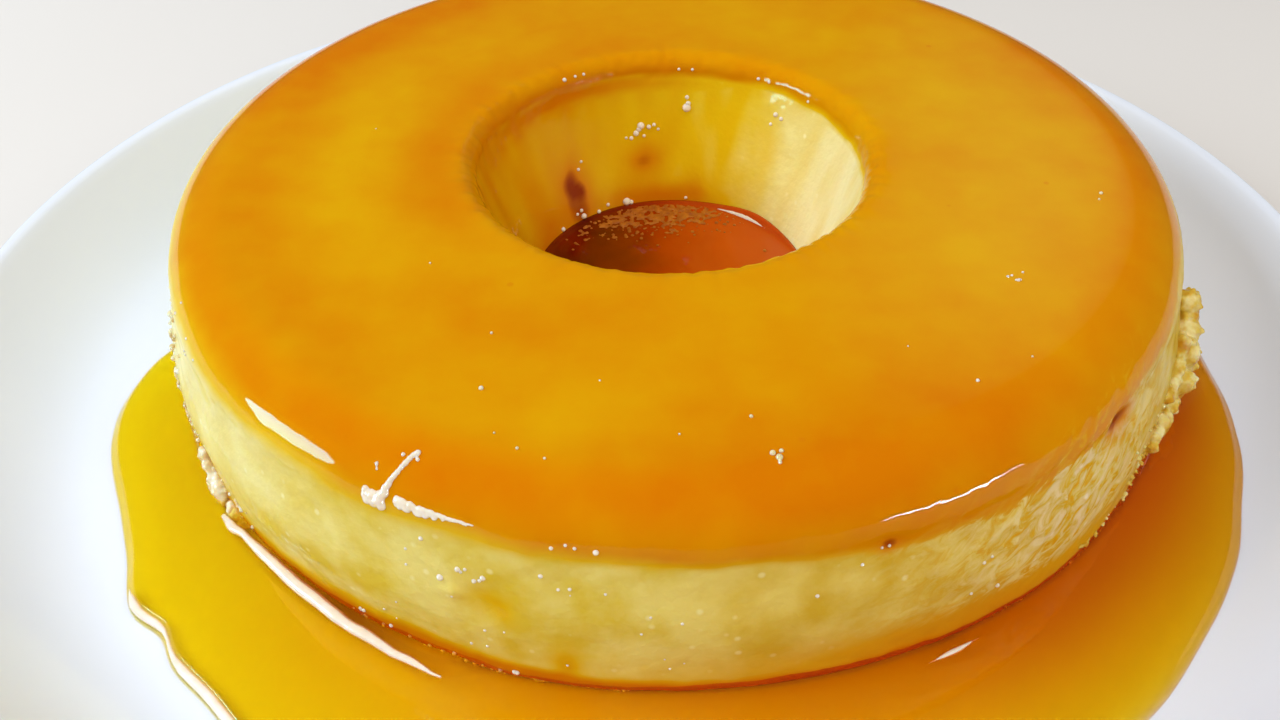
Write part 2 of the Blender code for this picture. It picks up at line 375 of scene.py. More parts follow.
def caramel_custard():
    """Steamed custard under caramel: pale egg yellow to soaked orange, wet, faintly translucent."""
    material, tree, output = new_material("caramel custard")
    place = add_node(tree, "ShaderNodeTexCoord").outputs["Object"]
    soak, gold, tone, painted_window_light, brown, torn, film = (
        add_node(tree, "ShaderNodeAttribute", {"attribute_name": name}).outputs["Fac"] for name in PAINTS
    )

    def blend(share, under, over):
        ends = [linear(end) if isinstance(end, str) else end for end in (under, over)]
        return add_node(
            tree, "ShaderNodeMix", {"data_type": "RGBA"},
            {"Factor_Float": share, "A_Color": ends[0], "B_Color": ends[1]},
        ).outputs["Result"]

    def spread(value, low, high, start=0.0, end=1.0):
        return add_node(
            tree, "ShaderNodeMapRange",
            inputs={"Value": value, "From Min": low, "From Max": high, "To Min": start, "To Max": end},
        ).outputs[0]

    def sum_of(one, other, kind="ADD"):
        clamp = kind != "MULTIPLY"
        return add_node(tree, "ShaderNodeMath", {"operation": kind, "use_clamp": clamp}, {"Value": one, "Value_001": other}).outputs[0]

    # curds and whey pockets, 9 mm and 1.5 mm across
    curd = add_node(tree, "ShaderNodeTexNoise", inputs={"Vector": place, "Scale": 110.0, "Detail": 5.0})
    fine = add_node(tree, "ShaderNodeTexNoise", inputs={"Vector": place, "Scale": 650.0, "Detail": 3.0})
    mottle = spread(curd.outputs["Fac"], 0.36, 0.64)
    # the torn skin's shreds, 6 mm long and 3 mm thick, rising to the right
    slant = add_node(
        tree, "ShaderNodeMapping", {"vector_type": "TEXTURE"},
        {
            "Vector": place, "Rotation": (0.0, math.radians(-24), math.radians(38)),
            "Scale": (0.0058, 0.0056, 0.0026),
        },
    )
    shred = add_node(
        tree, "ShaderNodeTexNoise",
        inputs={"Vector": slant.outputs[0], "Scale": 1.0, "Detail": 5.0, "Roughness": 0.6, "Distortion": 1.5},
    ).outputs["Fac"]
    ragged = sum_of(spread(shred, 0.34, 0.66, -0.85, 0.60), torn, "MULTIPLY")
    wetness = sum_of(soak, ragged)
    # bubbles of whey a millimetre across, in the bare custard
    bubble = add_node(tree, "ShaderNodeTexVoronoi", inputs={"Vector": place, "Scale": 230.0})
    specks = sum_of(spread(bubble.outputs["Distance"], 0.16, 0.07, 0.0, 0.45), spread(wetness, 0.5, 0.0), "MULTIPLY")
    # the painted window light, whey specks and torn shreds make the custard pale
    pale = sum_of(sum_of(painted_window_light, specks), sum_of(spread(shred, 0.56, 0.36, 0.0, 0.70), torn, "MULTIPLY"))
    cream = blend(mottle, "#dfc63e", "#ecde80")
    ochre = blend(mottle, "#cda22c", "#ddbc52")
    custard = blend(pale, blend(tone, cream, ochre), blend(torn, "#f7eeae", "#ecd5ac"))
    # the soak goes from custard through clear yellow to the caramel's own orange
    cloudy = sum_of(gold, spread(curd.outputs["Fac"], 0.3, 0.7, -0.12, 0.12))
    caramel = blend(cloudy, "#d07400", "#d99f04")
    edge = blend(spread(wetness, 0.0, 0.38), custard, blend(tone, "#e4bf10", "#d4981a"))
    base = blend(spread(wetness, 0.30, 0.95), edge, caramel)
    # grains of burnt sugar half a millimetre across, sparse, and the larger burnt marks
    burnt = add_node(tree, "ShaderNodeTexVoronoi", inputs={"Vector": place, "Scale": 70.0})
    grains = sum_of(spread(burnt.outputs["Distance"], 0.050, 0.028, 0.0, 0.35), spread(soak, 0.8, 1.0), "MULTIPLY")
    marks = sum_of(brown, grains)
    base = blend(spread(marks, 0.0, 0.7), base, blend(spread(marks, 0.45, 1.0), "#d07408", "#8a2a02"))
    bare = add_node(tree, "ShaderNodeMapRange", inputs={"Value": wetness, "To Min": 0.40, "To Max": 0.02})
    bump = add_node(
        tree, "ShaderNodeBump",
        inputs={"Strength": bare.outputs[0], "Distance": 0.0006, "Height": fine.outputs["Fac"]},
    )
    wet = add_node(tree, "ShaderNodeMapRange", inputs={"Value": wetness, "To Min": 0.45, "To Max": 1.0})
    shader = add_node(
        tree, "ShaderNodeBsdfPrincipled",
        inputs={
            "Base Color": base, "Roughness": 0.5, "IOR": 1.35, "Specular IOR Level": 0.0,
            "Subsurface Weight": 0.2, "Subsurface Radius": (1.0, 0.5, 0.15), "Subsurface Scale": 0.004,
            "Coat Weight": sum_of(wet.outputs[0], film, "MULTIPLY"), "Coat Roughness": 0.03, "Coat IOR": 1.3,
            "Normal": bump.outputs["Normal"],
        },
    )
    tree.links.new(shader.outputs[0], output.inputs["Surface"])
    return material


def build_ring():
    shape = spun(ring_profile(), RING_STEPS, True)
    layers = [shape.verts.layers.float.new(name) for name in PAINTS]
    shape.normal_update()
    moves = []
    for vert in shape.verts:
        r = math.hypot(vert.co.x, vert.co.y)
        turn = math.atan2(vert.co.y, vert.co.x)
        # the rows stand closer at the front, where the side is full of small detail
        shift = -FRONT_DENSITY * math.cos(turn)
        azimuth = (math.degrees(turn + shift) + 180) % 360 - 180
        spot = Matrix.Rotation(shift, 3, "Z") @ vert.co
        outward = Matrix.Rotation(shift, 3, "Z") @ vert.normal
        height = vert.co.z - RING_BASE
        for layer, value in zip(layers, paint(azimuth, r, height, spot)):
            vert[layer] = value
        moves.append((vert, RING_CENTRE + spot + outward * ring_relief(azimuth, r, height, spot)))
    for vert, target in moves:
        vert.co = target
        vert.co.z = max(vert.co.z, RING_BASE)
    skin = BVHTree.FromBMesh(shape)
    ring = piece("custard_ring", shape, caramel_custard())
    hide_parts("flan")
    return skin


ring_skin = build_ring()


# Custard crumbs ---------------------------------------------------------------------------
# Curds that tore off the tin with the ring and stuck low on its side, at the right and the left:
# soft wet lumps run together, with finer curds all over them.
CRUMB_SEED = 11
# Trails of lumps, from one end to the other: azimuth, height over the base, lump radius, how far
# they stand out, and how many.
RIGHT_TRAILS = (
    ((-17.0, -24.5), (0.0175, 0.0100), (0.0030, 0.0026), (0.0012, 0.0022), 22),
    ((-22.0, -32.0), (0.0090, 0.0055), (0.0026, 0.0013), (0.0016, 0.0006), 22),
    ((-23.0, -28.0), (0.0165, 0.0110), (0.0018, 0.0014), (0.0004, 0.0004), 9),
)
LEFT_TRAILS = (
    ((-149.0, -145.5), (0.0085, 0.0040), (0.0010, 0.0016), (0.0001, 0.0006), 12),
    ((-146.5, -139.5), (0.0036, 0.0012), (0.0018, 0.0008), (0.0006, 0.0002), 14),
)
# Loose fine curds: middle azimuth, half spread, lowest and highest, how many, radii.
FINE_CURDS = (
    (-40, 9.0, 0.0004, 0.0042, 70, (0.0003, 0.0006)), (-52, 9.0, 0.0002, 0.0026, 50, (0.0002, 0.0005)),
    (-34, 6.0, 0.0040, 0.0160, 40, (0.0003, 0.0006)),
)
LEFT_CURDS = (
    (-164, 9.0, 0.0080, 0.0250, 60, (0.0004, 0.0008)), (-151, 5.0, 0.0020, 0.0140, 26, (0.0003, 0.0006)),
    (-143, 5.0, 0.0006, 0.0080, 26, (0.0003, 0.0006)),
)
# Curds small enough to count on the soaked top: azimuth, radius, size.
TOP_CURDS = (
    (-114.5, 0.0757, 0.00045), (-83, 0.0772, 0.00036), (-82.0, 0.0852, 0.00050), (-81.5, 0.0862, 0.00058),
    (-81.1, 0.0850, 0.00040), (-81.6, 0.0871, 0.00034), (-14, 0.0810, 0.00040), (-15.5, 0.0806, 0.00030),
    (-104, 0.0868, 0.00028), (-107, 0.0858, 0.00032), (-110, 0.0838, 0.00025), (-119, 0.0635, 0.00030),
    (-101, 0.0690, 0.00022), (-91, 0.0800, 0.00025), (-60, 0.0710, 0.00022), (-140, 0.0560, 0.00025),
    (170, 0.0600, 0.00022), (-57.5, 0.0830, 0.00035), (-50.0, 0.0845, 0.00025),
)


def on_side(azimuth, height, lift):
    """The point that far out from the ring's own outer side at that height over its base."""
    turn = math.radians(azimuth)
    out = Vector((math.cos(turn), math.sin(turn), 0.0))
    start = RING_CENTRE + out * 0.13 + Vector((0.0, 0.0, RING_BASE + height))
    place, normal = ring_skin.ray_cast(start, -out)[:2]
    return place + normal * lift


def on_top(azimuth, radius, lift):
    turn = math.radians(azimuth)
    start = RING_CENTRE + Vector((radius * math.cos(turn), radius * math.sin(turn), RING_TOP + 0.01))
    place, normal = ring_skin.ray_cast(start, Vector((0.0, 0.0, -1.0)))[:2]
    return place + normal * lift


def fused(lumps, grain, rough, passes=1):
    """A bmesh of (centre, radius) balls run together by a voxel remesh, smoothed, then roughened."""
    shape = bmesh.new()
    for centre, radius in lumps:
        bmesh.ops.create_icosphere(shape, subdivisions=2, radius=radius, matrix=Matrix.Translation(centre))
    mesh = bpy.data.meshes.new("lumps")
    shape.to_mesh(mesh)
    shape.free()
    lumpy = bpy.data.objects.new("lumps", mesh)
    bpy.context.scene.collection.objects.link(lumpy)
    remesh = lumpy.modifiers.new("fuse", "REMESH")
    remesh.mode = "VOXEL"
    remesh.voxel_size = grain
    bpy.context.view_layer.update()
    skin = bpy.data.meshes.new_from_object(lumpy.evaluated_get(bpy.context.evaluated_depsgraph_get()))
    bpy.data.objects.remove(lumpy)
    shape = bmesh.new()
    shape.from_mesh(skin)
    bpy.data.meshes.remove(skin)
    for _ in range(passes):
        bmesh.ops.smooth_vert(
            shape, verts=shape.verts, factor=0.5, use_axis_x=True, use_axis_y=True, use_axis_z=True,
        )
    shape.normal_update()
    for vert in shape.verts:
        swell = noise.noise(vert.co * 1100.0) + 0.6 * noise.noise(vert.co * 2600.0)
        vert.co += vert.normal * rough * swell
    return shape


def curd_material(name, deep, middle, pale):
    """Torn custard: patches from pale to darker where syrup has soaked in; wet."""
    material, tree, output = new_material(name)
    place = add_node(tree, "ShaderNodeTexCoord").outputs["Object"]
    # 3 mm patches
    clot = add_node(tree, "ShaderNodeTexNoise", inputs={"Vector": place, "Scale": 330.0, "Detail": 3.0})
    colour = add_node(tree, "ShaderNodeValToRGB", inputs={"Fac": clot.outputs["Fac"]})
    stops = colour.color_ramp.elements
    stops[0].position = 0.34
    stops[0].color = linear(deep)
    stops[1].position = 0.64
    stops[1].color = linear(pale)
    stops.new(0.48).color = linear(middle)
    shader = add_node(
        tree, "ShaderNodeBsdfPrincipled",
        inputs={
            "Base Color": colour.outputs["Color"], "Roughness": 0.45, "Specular IOR Level": 0.2,
            "Subsurface Weight": 0.3, "Subsurface Radius": (1.0, 0.5, 0.15), "Subsurface Scale": 0.003,
            "Coat Weight": 0.8, "Coat Roughness": 0.08, "Coat IOR": 1.35,
        },
    )
    tree.links.new(shader.outputs[0], output.inputs["Surface"])
    return material


def scattered(patches, pick):
    """(centre, radius) of loose curds, half sunk in the ring's side."""
    lumps = []
    for middle, spread, low, high, count, (small, large) in patches:
        for _ in range(count):
            radius = pick.uniform(small, large)
            azimuth = middle + spread * pick.uniform(-1, 1)
            lumps.append((on_side(azimuth, pick.uniform(low, high), 0.1 * radius), radius))
    return lumps


def clustered(trails, pick):
    """Overlapping lumps along each trail, with finer curds over their outer faces."""
    lumps = []
    for azimuths, heights, radii, lifts, count in trails:
        for i in range(count):
            share = (i + pick.uniform(-0.5, 0.5)) / (count - 1)
            azimuth, height, radius, lift = (a + (b - a) * share for a, b in (azimuths, heights, radii, lifts))
            radius *= pick.uniform(0.55, 1.0)
            azimuth += math.degrees(radius / BASE_RADIUS) * pick.uniform(-0.8, 0.8)
            height = max(height + radius * pick.uniform(-0.8, 0.8), 0.6 * radius)
            centre = on_side(azimuth, height, lift)
            lumps.append((centre, radius))
            for _ in range(16):
                way = Vector([pick.gauss(0, 1) for _ in range(3)]).normalized()
                lumps.append((centre + way * radius * pick.uniform(0.85, 1.0), pick.uniform(0.0003, 0.0007)))
    return lumps


def build_crumbs():
    pick = random.Random(CRUMB_SEED)
    yellow = curd_material("torn custard", "#cc9414", "#dcbc4c", "#efe09c")
    whitish = curd_material("torn custard, whey washed", "#d6b47a", "#ead7a8", "#f8efd8")
    right = clustered(RIGHT_TRAILS, pick) + scattered(FINE_CURDS, pick)
    piece("custard_crumbs_right", fused(right, 0.00028, 0.00014), yellow)
    left = clustered(LEFT_TRAILS, pick) + scattered(LEFT_CURDS, pick)
    piece("custard_crumbs_left", fused(left, 0.00028, 0.00012), whitish)
    top = [(on_top(azimuth, radius, 0.1 * size), size) for azimuth, radius, size in TOP_CURDS]
    piece("top_curds", fused(top, 0.00016, 0.0), whitish)


build_crumbs()


# Whey froth and painted glints ----------------------------------------------------------------
# Milky whey that ran off the top as the ring was turned out: one drop with a thin tail on the
# shoulder and a line of froth beside it, partly whey and partly a painted highlight of the window,
# and single bubbles over the ring's side and in its hole, their white partly painted glints.
# The drop, partly a painted highlight: azimuth, height over the base, radius.
WHEY_DROP_AND_HIGHLIGHT = (
    (-119.8, 0.0314, 0.00070), (-119.7, 0.0307, 0.00085), (-119.4, 0.0301, 0.00090), (-119.0, 0.0310, 0.00100),
    (-118.7, 0.0302, 0.00100), (-118.2, 0.0306, 0.00105), (-118.2, 0.0313, 0.00095), (-117.9, 0.0300, 0.00085),
    (-117.8, 0.0319, 0.00085), (-117.8, 0.0325, 0.00072), (-117.6, 0.0331, 0.00064), (-117.5, 0.0336, 0.00058),
    (-117.3, 0.0341, 0.00054), (-117.1, 0.0346, 0.00052), (-116.9, 0.0351, 0.00052), (-116.7, 0.0355, 0.00056),
    (-116.5, 0.0359, 0.00054), (-116.3, 0.0362, 0.00050), (-116.0, 0.0364, 0.00056), (-117.3, 0.0360, 0.00042),
    (-115.7, 0.0360, 0.00040), (-119.4, 0.0346, 0.00040), (-119.2, 0.0341, 0.00032),
)
# Single bubbles on the side, their white partly painted glints: azimuth, height, radius.
BUBBLES = (
    (-112.2, 0.0205, 0.00060), (-110.5, 0.0229, 0.00050), (-110.2, 0.0226, 0.00030), (-109.8, 0.0232, 0.00032),
    (-109.0, 0.0214, 0.00042), (-108.2, 0.0223, 0.00050), (-108.5, 0.0217, 0.00034), (-114.0, 0.0265, 0.00042),
    (-103.0, 0.0247, 0.00040), (-101.5, 0.0226, 0.00030), (-100.5, 0.0229, 0.00032), (-102.0, 0.0301, 0.00034),
    (-100.8, 0.0307, 0.00028), (-100.0, 0.0304, 0.00030), (-98.2, 0.0301, 0.00048), (-108.2, 0.0121, 0.00028),
    (-109.8, 0.0076, 0.00028), (-108.2, 0.0082, 0.00028), (-115.6, 0.0236, 0.00028), (-79.5, 0.0205, 0.00034),
    (-91.0, 0.0180, 0.00028), (-75.5, 0.0245, 0.00030), (-72.9, 0.0262, 0.00030), (-73.6, 0.0262, 0.00026),
    (-64.5, 0.0118, 0.00030), (-61.5, 0.0108, 0.00042), (-63.5, 0.0176, 0.00034), (-62.6, 0.0180, 0.00030),
)
# Middle azimuth, half spread, lowest and highest over the base, count, radii.
BUBBLE_PATCHES = (
    (-111.0, 6.0, 0.0012, 0.0034, 26, (0.00022, 0.00045)), (-99.5, 4.0, 0.0008, 0.0018, 12, (0.00022, 0.00045)),
    (-103.5, 0.8, 0.0008, 0.0016, 5, (0.00040, 0.00060)), (-121.0, 4.0, 0.0024, 0.0050, 9, (0.00022, 0.00040)),
    (-103.0, 16.0, 0.0050, 0.0260, 14, (0.00016, 0.00026)), (-155.0, 9.0, 0.0270, 0.0335, 8, (0.00020, 0.00036)),
)
# In the hole, bubbles whose white is partly painted glints: azimuth, height over its syrup, radius.
HOLE_BUBBLES = (
    (82, 0.0207, 0.00100), (81.5, 0.0216, 0.00060), (82, 0.0229, 0.00050), (99, 0.0172, 0.00085),
    (101, 0.0157, 0.00070), (99.8, 0.0165, 0.00060), (96, 0.0168, 0.00055), (103, 0.0148, 0.00050),
    (94, 0.0172, 0.00045), (98, 0.0150, 0.00040), (105, 0.0150, 0.00035), (92.5, 0.0162, 0.00035),
    (50, 0.0206, 0.00040), (49, 0.0228, 0.00060), (46.5, 0.0224, 0.00050), (125, 0.0126, 0.00035),
    (127, 0.0112, 0.00040), (143, 0.0010, 0.00055), (130, 0.0012, 0.00070), (130.5, 0.0026, 0.00045),
    (133, 0.0022, 0.00040), (117, 0.0016, 0.00045), (108, 0.0012, 0.00095), (106, 0.0009, 0.00060),
    (81, 0.0012, 0.00040), (122, 0.0008, 0.00050), (85, 0.0288, 0.00035), (80.5, 0.0288, 0.00035),
    (124, 0.0300, 0.00050), (120, 0.0300, 0.00035), (117, 0.0300, 0.00035), (58, 0.0288, 0.00040),
    (54, 0.0288, 0.00035), (38, 0.0280, 0.00035),
)


def froth_material():
    """Milky whey: cream white, faintly clouded, glossy; its white also stands for painted highlights and glints."""
    material, tree, output = new_material("milky whey and painted highlights")
    place = add_node(tree, "ShaderNodeTexCoord").outputs["Object"]
    cloud = add_node(tree, "ShaderNodeTexNoise", inputs={"Vector": place, "Scale": 500.0, "Detail": 2.0})
    colour = add_node(
        tree, "ShaderNodeMix", {"data_type": "RGBA"},
        {"Factor_Float": cloud.outputs["Fac"], "A_Color": linear("#ead6b4"), "B_Color": linear("#f9f0e6")},
    )
    shader = add_node(
        tree, "ShaderNodeBsdfPrincipled",
        inputs={
            "Base Color": colour.outputs["Result"], "Roughness": 0.25,
            "Subsurface Weight": 0.4, "Subsurface Radius": (1.0, 0.8, 0.5), "Subsurface Scale": 0.001,
            "Coat Weight": 1.0, "Coat Roughness": 0.03,
        },
    )
    tree.links.new(shader.outputs[0], output.inputs["Surface"])
    return material


def in_hole(azimuth, height, lift):
    """A point off the wall of the hole, at that height over the syrup that fills its foot."""
    turn = math.radians(azimuth)
    out = Vector((math.cos(turn), math.sin(turn), 0.0))
    start = RING_CENTRE + Vector((0.0, 0.0, syrup_high.z + height))
    place, normal = ring_skin.ray_cast(start, out)[:2]
    return place + normal * lift


def build_froth():
    pick = random.Random(3)
    material = froth_material()
    lumps = [(on_side(azimuth, height, -0.1 * radius), radius) for azimuth, height, radius in WHEY_DROP_AND_HIGHLIGHT]
    for i in range(70):
        share = (i / 69) ** 1.2
        radius = (0.00062 - 0.00034 * share) * pick.uniform(0.7, 1.15)
        drop = (0.0012 - 0.0010 * share) * pick.random() ** 2
        lumps.append((on_side(-116.6 + 7.6 * share, 0.0318 - 0.0006 * share - drop, -0.2 * radius), radius))
    # the drop and the line of froth beside it, partly a painted highlight of the window
    piece("whey_froth_and_painted_highlight", fused(lumps, 0.00018, 0.00004, 4), material)
    rows = list(BUBBLES)
    for middle, spread, low, high, count, (small, large) in BUBBLE_PATCHES:
        for _ in range(count):
            rows.append((middle + spread * pick.uniform(-1, 1), pick.uniform(low, high), pick.uniform(small, large)))
    shape = bmesh.new()
    spots = [(on_side(azimuth, height, -0.15 * radius), radius) for azimuth, height, radius in rows]
    spots += [(in_hole(azimuth, height, -0.1 * radius), radius) for azimuth, height, radius in HOLE_BUBBLES]
    for _ in range(7):
        away = (pick.uniform(-1, 1), pick.uniform(-1, 1))
        spots.append((on_top(-37.5 + 1.6 * away[0], 0.0722 + 0.0014 * away[1], 0.0), pick.uniform(0.0002, 0.00034)))
    for centre, radius in spots:
        bmesh.ops.create_icosphere(shape, subdivisions=2, radius=radius, matrix=Matrix.Translation(centre))
    # bubbles whose white is partly painted glints of the window
    piece("whey_bubbles_and_painted_glints", shape, material)


build_froth()


# Syrup ------------------------------------------------------------------------------------
# Caramel syrup, burnt sugar let down by the custard's whey: a clear amber liquid that lies round
# the ring, climbs a little up its side, and stands deep and dark in the hole.
pool_low, pool_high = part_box("syrup_pool")
POOL_LEVEL = pool_high.z
HOLE_LEVEL = syrup_high.z
POOL_STEPS = 360
SINK = 0.0004
EDGE_RUN = 0.0034
RAMP_END = 0.2

# Small bays and bulges of the outline: azimuth, spread, how far out.
POOL_COVES = (
    (-135, 2.2, -0.0016), (-127, 5, -0.0012), (-139.5, 3, 0.0008), (-152, 11, 0.0011), (-47, 9, -0.0013), (9, 12, 0.0014),
)
# Painted shade of the ring's shadow, partly deeper syrup: how far the syrup's tint is browned, most on the right,
# where that shadow falls.
POOL_SHADE_AND_DEPTH = (
    (-180, 0.0), (-140, 0.18), (-120, 0.44), (-100, 0.66), (-75, 0.76), (-55, 0.90), (-20, 1.0),
    (10, 0.6), (60, 0.3), (180, 0.0),
)
# The syrup banked against the ring: azimuth, its height, how wide its flat top is, and the slope
# it then falls at.
POOL_BANK = (
    (-180, 0.0009, 0.0, 0.8), (-145, 0.0009, 0.0, 0.8), (-140, 0.0014, 0.0010, 0.7),
    (-123, 0.0014, 0.0014, 0.7), (-113, 0.0012, 0.0026, 0.7), (-107, 0.0008, 0.0, 0.8), (180, 0.0009, 0.0, 0.8),
)


def ramp(share):
    """From 0 to 1 along a straight slope with rounded ends."""
    share = min(max(share, 0.0), 1.0)
    if share < RAMP_END:
        return share**2 / (2 * RAMP_END * (1 - RAMP_END))
    if share > 1 - RAMP_END:
        return 1 - ramp(1 - share)
    return (share - RAMP_END / 2) / (1 - RAMP_END)


def pool_reach():
    """The pool's outer radius about the ring's centre, read off the CAD solid, every 5 degrees."""
    reach = [0.0] * 72
    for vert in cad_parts["syrup_pool"].data.vertices:
        out = vert.co - RING_CENTRE
        slot = round(math.degrees(math.atan2(out.y, out.x)) / 5) % 72
        reach[slot] = max(reach[slot], math.hypot(out.x, out.y))
    return reach


def reach_at(reach, turn):
    """Reads pool_reach at any angle, through four neighbours."""
    place = (math.degrees(turn) / 5) % 72
    i = int(place)
    t = place - i
    a, b, c, d = (reach[(i + k) % 72] for k in (-1, 0, 1, 2))
    return b + 0.5 * t * (c - a + t * (2 * a - 5 * b + 4 * c - d + t * (3 * (b - c) + d - a)))


def clear_syrup(thin_tint, shade_and_depth_tint):
    """Clear caramel syrup: refracting liquid, amber through its depth, its tint browned by painted shade of the ring
    and by deeper syrup.
    """
    material, tree, output = new_material("caramel syrup")
    # the deep attribute is painted shade of the ring's shadow, partly deeper syrup
    deep = add_node(tree, "ShaderNodeAttribute", {"attribute_name": "deep"}).outputs["Fac"]
    tint = add_node(
        tree, "ShaderNodeMix", {"data_type": "RGBA"},
        {"Factor_Float": deep, "A_Color": linear(thin_tint), "B_Color": linear(shade_and_depth_tint)},
    ).outputs["Result"]
    shader = add_node(
        tree, "ShaderNodeBsdfPrincipled",
        inputs={
            "Base Color": tint, "Roughness": 0.02, "IOR": 1.46, "Transmission Weight": 1.0,
        },
    )
    # lets the lamps reach the plate through the liquid, less what its upper face throws back
    passed = add_node(
        tree, "ShaderNodeMix", {"data_type": "RGBA", "blend_type": "MULTIPLY"},
        {"Factor_Float": 1.0, "A_Color": tint, "B_Color": linear("#b5b5b5")},
    )
    through = add_node(tree, "ShaderNodeBsdfTransparent", inputs={"Color": passed.outputs["Result"]})
    path = add_node(tree, "ShaderNodeLightPath")
    mixed = add_node(tree, "ShaderNodeMixShader", inputs={"Fac": path.outputs["Is Shadow Ray"]})
    tree.links.new(shader.outputs[0], mixed.inputs[1])
    tree.links.new(through.outputs[0], mixed.inputs[2])
    # per metre of depth, caramel takes nearly all the blue, some green and hardly any red
    depth = add_node(
        tree, "ShaderNodeVolumeAbsorption", inputs={"Color": linear("#fef800"), "Density": 900.0},
    )
    tree.links.new(mixed.outputs[0], output.inputs["Surface"])
    tree.links.new(depth.outputs[0], output.inputs["Volume"])
    return material


def build_pool():
    reach = pool_reach()
    # section as shares: 0 at the ring's side, 1 at the pool's edge, then back underneath
    section = [(0.04 * i / 6, 1) for i in range(6)] + [(0.04 + 0.26 * i / 14, 1) for i in range(14)]
    section += [(share, 1) for share in (0.32, 0.38, 0.46, 0.56, 0.66)]
    section += [(1.0 - 0.3 * (1 - i / 24) ** 1.6, 1) for i in range(25)]
    section += [(share, 0) for share in (0.98, 0.75, 0.5, 0.25, 0.0)]
    shape = spun([(1.0 + share, float(side)) for share, side in section], POOL_STEPS, True)
    deep = shape.verts.layers.float.new("deep")
    for vert in shape.verts:
        turn = math.atan2(vert.co.y, vert.co.x)
        azimuth = math.degrees(turn)
        share = math.hypot(vert.co.x, vert.co.y) - 1.0
        on_top = vert.co.z > 0.5
        outer = reach_at(reach, turn)
        wobble = 0.0005 * noise.noise(Vector((math.cos(turn), math.sin(turn), 0.4)) * 9)
        # painted shade: browner against the ring, where its shadow falls, fading out towards the edge
        outward_fade = 0.65 - 0.25 * near(azimuth, -15, 35)
        vert[deep] = along(POOL_SHADE_AND_DEPTH, azimuth) * (1.0 - outward_fade * smoothstep(0.15, 1.0, share))
        # browner under the bank against the ring
        vert[deep] += 0.5 * smoothstep(0.14, 0.05, share) * near(azimuth, -128, 16)
        outer += wobble + sum(out * near(azimuth, middle, spread) for middle, spread, out in POOL_COVES)
        wall = BASE_RADIUS - 0.0004
        start = wall - 0.0012
        r = start + (outer - start) * share
        spot = RING_CENTRE + Vector((r * math.cos(turn), r * math.sin(turn), 0.0))
        floor = plate_height(math.hypot(spot.x, spot.y)) - SINK
        if on_top:
            left = max(outer - r, 0.0) / EDGE_RUN
            rounding = 0.42 * ramp(left / 0.16) + 0.45 * ramp((left - 0.06) / 0.62) + 0.13 * ramp((left - 0.4) / 0.6)
            high, ledge, slope = (along(POOL_BANK, azimuth, column) for column in (1, 2, 3))
            fall = high / (1 - RAMP_END) / slope
            climb = high * (1.0 - ramp((r - wall - ledge) / fall))
            top = floor + (POOL_LEVEL - floor) * rounding + climb
            spot.z = max(top, floor)
        else:
            spot.z = floor - 0.0002
        vert.co = spot
    bmesh.ops.recalc_face_normals(shape, faces=shape.faces)
    skin = BVHTree.FromBMesh(shape)
    # the browner tint is painted shade of the ring, partly deeper syrup
    pool = piece("caramel_pool", shape, clear_syrup("#ffffff", "#e67c00"))
    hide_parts("syrup_pool")
    return skin


pool_skin = build_pool()


def dark_syrup():
    """Syrup too deep and burnt to see through: red brown, near black where it is darkest, towards the left."""
    material, tree, output = new_material("deep caramel syrup")
    deep = add_node(tree, "ShaderNodeAttribute", {"attribute_name": "deep"}).outputs["Fac"]
    place = add_node(tree, "ShaderNodeTexCoord").outputs["Object"]
    # settled sugar in 8 mm drifts
    drift = add_node(tree, "ShaderNodeTexNoise", inputs={"Vector": place, "Scale": 120.0, "Detail": 2.0})
    depth = add_node(
        tree, "ShaderNodeMath", {"operation": "MULTIPLY_ADD"},
        {"Value": drift.outputs["Fac"], "Value_001": 0.3, "Value_002": deep},
    )
    colour = add_node(tree, "ShaderNodeValToRGB", inputs={"Fac": depth.outputs[0]})
    stops = colour.color_ramp.elements
    stops[0].position = 0.20
    stops[0].color = linear("#bc480a")
    stops[1].position = 0.92
    stops[1].color = linear("#560800")
    middle = stops.new(0.55)
    middle.color = linear("#a43400")
    shader = add_node(
        tree, "ShaderNodeBsdfPrincipled",
        inputs={
            "Base Color": colour.outputs["Color"], "Roughness": 0.3, "Specular IOR Level": 0.0,
            "Subsurface Weight": 0.3, "Subsurface Radius": (1.0, 0.2, 0.05), "Subsurface Scale": 0.003,
            "Coat Weight": 1.0, "Coat Roughness": 0.02, "Coat IOR": 1.46,
        },
    )
    tree.links.new(shader.outputs[0], output.inputs["Surface"])
    return material


def build_hole_syrup():
    rise = HOLE_LEVEL - RING_BASE
    wall = HOLE_RADII[1] + (HOLE_RADII[0] - HOLE_RADII[1]) * rise / RING_HEIGHT
    profile = [(0.0, HOLE_LEVEL)] + [(wall * i / 16, HOLE_LEVEL) for i in range(1, 14)]
    for i in range(12):
        r = wall - 0.0044 + 0.0048 * i / 11
        profile.append((r, HOLE_LEVEL + 0.0006 * math.exp(-max(wall - r, 0.0) / 0.0010)))
    profile += [(HOLE_RADII[1] + 0.0006, WELL_TOP - SINK), (0.0, WELL_TOP - SINK)]
    shape = spun(profile, 144, False)
    deep = shape.verts.layers.float.new("deep")
    for vert in shape.verts:
        # darker towards the left
        vert[deep] = 0.75 * smoothstep(0.020, -0.020, vert.co.x)
        # the syrup wets the wall higher at the back right
        wet = near(math.degrees(math.atan2(vert.co.y, vert.co.x)), 47, 16)
        if vert.co.z > HOLE_LEVEL:
            vert.co.z += 1.8 * wet * (vert.co.z - HOLE_LEVEL)
        vert.co += RING_CENTRE
    syrup = piece("hole_caramel", shape, dark_syrup())
    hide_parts("hole_syrup")


build_hole_syrup()


